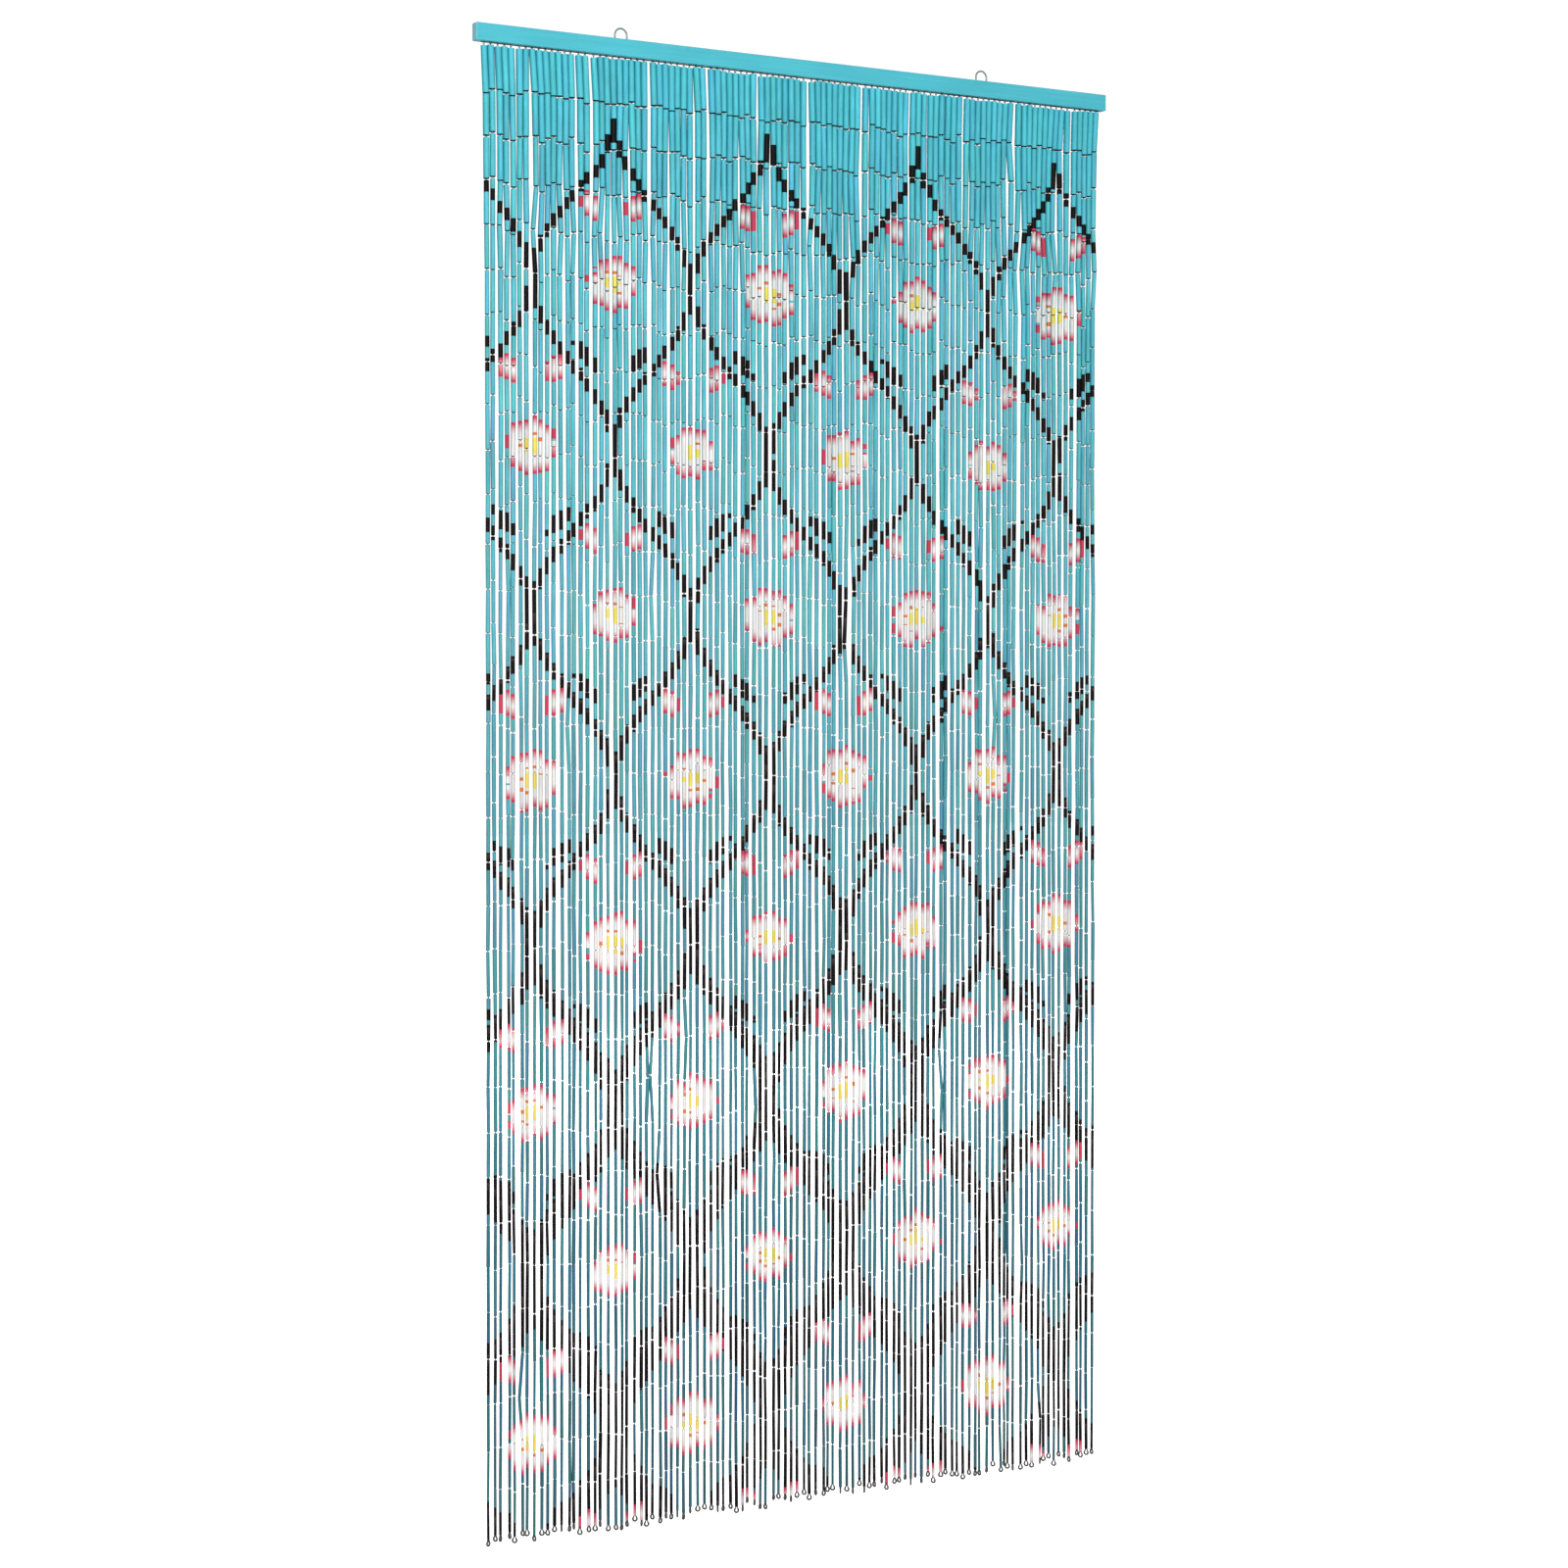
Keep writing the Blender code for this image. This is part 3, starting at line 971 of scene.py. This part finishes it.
def rail_material():
    """Satin paint on a planed slat: brush streaks along it and a soft unevenness."""
    material, tree, shader = new_material("painted_slat")
    streaks = noise_of(tree, SLAT_STREAKS)
    cloud = noise_of(tree, SLAT_CLOUD)
    base = tree.nodes.new("ShaderNodeRGB")
    base.outputs["Color"].default_value = (*RAIL_PAINT, 1)
    colour = times(tree, base.outputs["Color"], spread_over(tree, streaks, SLAT_STREAK_SHADES))
    colour = times(tree, colour, spread_over(tree, cloud, SLAT_CLOUD_SHADES))
    colour = worn_ends(tree, colour)
    tree.links.new(colour, shader.inputs["Base Color"])
    tree.links.new(spread_over(tree, streaks, SLAT_ROUGHNESS), shader.inputs["Roughness"])
    shader.inputs["Specular IOR Level"].default_value = SLAT_GLOSS
    add_bump(tree, shader, streaks, SLAT_MARKS)
    return material


def wire_material(name, colour, metallic):
    """Dull drawn steel."""
    material, tree, shader = new_material(name)
    marks = noise_of(tree, WIRE_MARKS)
    base = tree.nodes.new("ShaderNodeRGB")
    base.outputs["Color"].default_value = (*colour, 1)
    colour = times(tree, base.outputs["Color"], spread_over(tree, marks, WIRE_SHADES))
    tree.links.new(colour, shader.inputs["Base Color"])
    tree.links.new(spread_over(tree, marks, WIRE_ROUGHNESS), shader.inputs["Roughness"])
    shader.inputs["Metallic"].default_value = metallic
    return material


def seen_straight(tree):
    """One for what the camera sees straight, and nought for light that goes on to the object."""
    return tree.nodes.new("ShaderNodeLightPath").outputs["Is Camera Ray"]


def floor_material():
    """Pale matt floor, lit up to the white of the studio behind it."""
    material, tree, shader = new_material("pale_floor")
    shader.inputs["Base Color"].default_value = (FLOOR_SHADE, FLOOR_SHADE, FLOOR_SHADE, 1)
    shader.inputs["Roughness"].default_value = FLOOR_ROUGHNESS
    shader.inputs["Emission Color"].default_value = (1, 1, 1, 1)
    tree.links.new(seen_straight(tree), shader.inputs["Emission Strength"])
    return material


def make_floor():
    """A wide pale floor under the curtain."""
    half = FLOOR_SIZE / 2
    height = -DROP - FLOOR_DROP
    square = ((-half, -half), (half, -half), (half, half), (-half, half))
    corners = [(x, y, height) for x, y in square]
    mesh = bpy.data.meshes.new("floor")
    mesh.from_pydata(corners, [], [(0, 1, 2, 3)])
    mesh.materials.append(floor_material())
    floor = bpy.data.objects.new("floor", mesh)
    bpy.context.scene.collection.objects.link(floor)


def make_surroundings():
    """A white studio, which is brighter to the eye than the light that it gives."""
    world = bpy.data.worlds.new("studio")
    world.use_nodes = True
    tree = world.node_tree
    sky = tree.nodes["Background"]
    sky.inputs["Color"].default_value = (1, 1, 1, 1)
    spread = tree.nodes.new("ShaderNodeMapRange")
    spread.inputs["To Min"].default_value = WORLD_LIGHT
    spread.inputs["To Max"].default_value = STUDIO_WHITE
    tree.links.new(seen_straight(tree), spread.inputs["Value"])
    tree.links.new(spread.outputs["Result"], sky.inputs["Strength"])
    bpy.context.scene.world = world


def make_lamp(name, place, aim, size, power):
    """One square soft lamp, turned to a point of the curtain."""
    lamp = bpy.data.lights.new(name, "AREA")
    lamp.shape = "SQUARE"
    lamp.size = size
    lamp.energy = power
    item = bpy.data.objects.new(name, lamp)
    item.location = place
    item.rotation_euler = (Vector(place) - Vector(aim)).to_track_quat("Z", "Y").to_euler()
    bpy.context.scene.collection.objects.link(item)


def make_tubes(material, rows, links, ends):
    """All the tubes, a few strings to a piece."""
    draw = np.random.RandomState(TUBE_SEED)
    bands = string_bands(draw)
    levels, tracks = make_tracks(rows, draw)
    strings = [string_tubes(n, levels, tracks, links, ends, draw) for n in range(STRINGS)]
    for first in range(0, STRINGS, STRINGS_A_PIECE):
        group = [tube for tubes in strings[first:first + STRINGS_A_PIECE] for tube in tubes]
        tube_piece(f"tubes_{first // STRINGS_A_PIECE + 1:02d}", group, bands, material)
    return strings, draw


def make_eyelets(strings, draw, rail_steel, joint_steel):
    """The eyelets that hang the strings from the rail, and those at the joints."""
    routes, facings = joint_eyelets(strings, draw)
    at_rail = np.arange(len(routes)) % TUBES == 0
    some, ways = routes[at_rail], facings[at_rail]
    item = wire_piece("rail_eyelets", some, ways, EYELET_RADIUS, EYELET_SIDES, False, rail_steel)
    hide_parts("strands")
    between = np.flatnonzero(~at_rail)
    for part, chosen in enumerate(np.array_split(between, LINK_PIECES)):
        some, ways = routes[chosen], facings[chosen]
        name = f"eyelets_{part + 1}"
        item = wire_piece(name, some, ways, EYELET_RADIUS, EYELET_SIDES, False, joint_steel)
        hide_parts("strands")


def make_foot_rings(strings, ends, draw, steel):
    """The rings at the strings' feet."""
    routes, facings = foot_ring_routes(strings, ends, draw)
    item = wire_piece("foot_rings", routes, facings, RING_WIRE / 2, RING_SIDES, True, steel)
    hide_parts("strands")


def make_carrier(steel):
    """The wire under the rail that carries the strings."""
    low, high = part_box("strands")
    height = STRIP_TOP - STRIP_HEIGHT / 2
    route = np.array([[(x, 0, height) for x in np.linspace(low.x, high.x, STRIP_STEPS)]])
    radius = STRIP_HEIGHT / 2
    item = wire_piece("carrier_wire", route, BACKWARD, radius, STRIP_SIDES, False, steel)
    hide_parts("strands")


def make_loops(steel):
    """The two hanging loops on the rail."""
    radius = LOOP_SHOWN_WIRE / 2
    for name, place in (("left", -LOOP_PLACE), ("right", LOOP_PLACE)):
        route = hanger_route(place)[None, :, :]
        item = wire_piece(f"loop_{name}", route, BACKWARD, radius, LOOP_SIDES, False, steel)
        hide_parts(f"hanger_{name}")


def make_wires(strings, ends, draw):
    """All that is wire: eyelets, foot rings, the carrier under the rail and the loops."""
    # The eyelets at the rail and the carrier get steel darkened as painted shade, for the shade
    # under the rail
    shaded_rail_steel = wire_material("shaded_rail_wire", SHADED_RAIL_WIRE, DULL_METAL)
    loop_steel = wire_material("loop_wire", LOOP_STEEL, DULL_METAL)
    link_steel = wire_material("link_wire", LINK_STEEL, BRIGHT_METAL)
    ring_steel = wire_material("ring_wire", RING_STEEL, DULL_METAL)
    make_eyelets(strings, draw, shaded_rail_steel, link_steel)
    make_foot_rings(strings, ends, draw, ring_steel)
    make_carrier(shaded_rail_steel)
    make_loops(loop_steel)


def main():
    bpy.context.scene.view_settings.view_transform = "Standard"
    make_camera()
    rows, links, ends = string_layout()
    strings, draw = make_tubes(tube_material(), rows, links, ends)
    make_wires(strings, ends, draw)
    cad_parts["rail"].material_slots[0].material = rail_material()
    make_floor()
    make_surroundings()
    make_lamp("key_lamp", KEY_PLACE, KEY_AIM, KEY_SIZE, KEY_POWER)
    make_lamp("fill_lamp", FILL_PLACE, KEY_AIM, KEY_SIZE, FILL_POWER)


main()
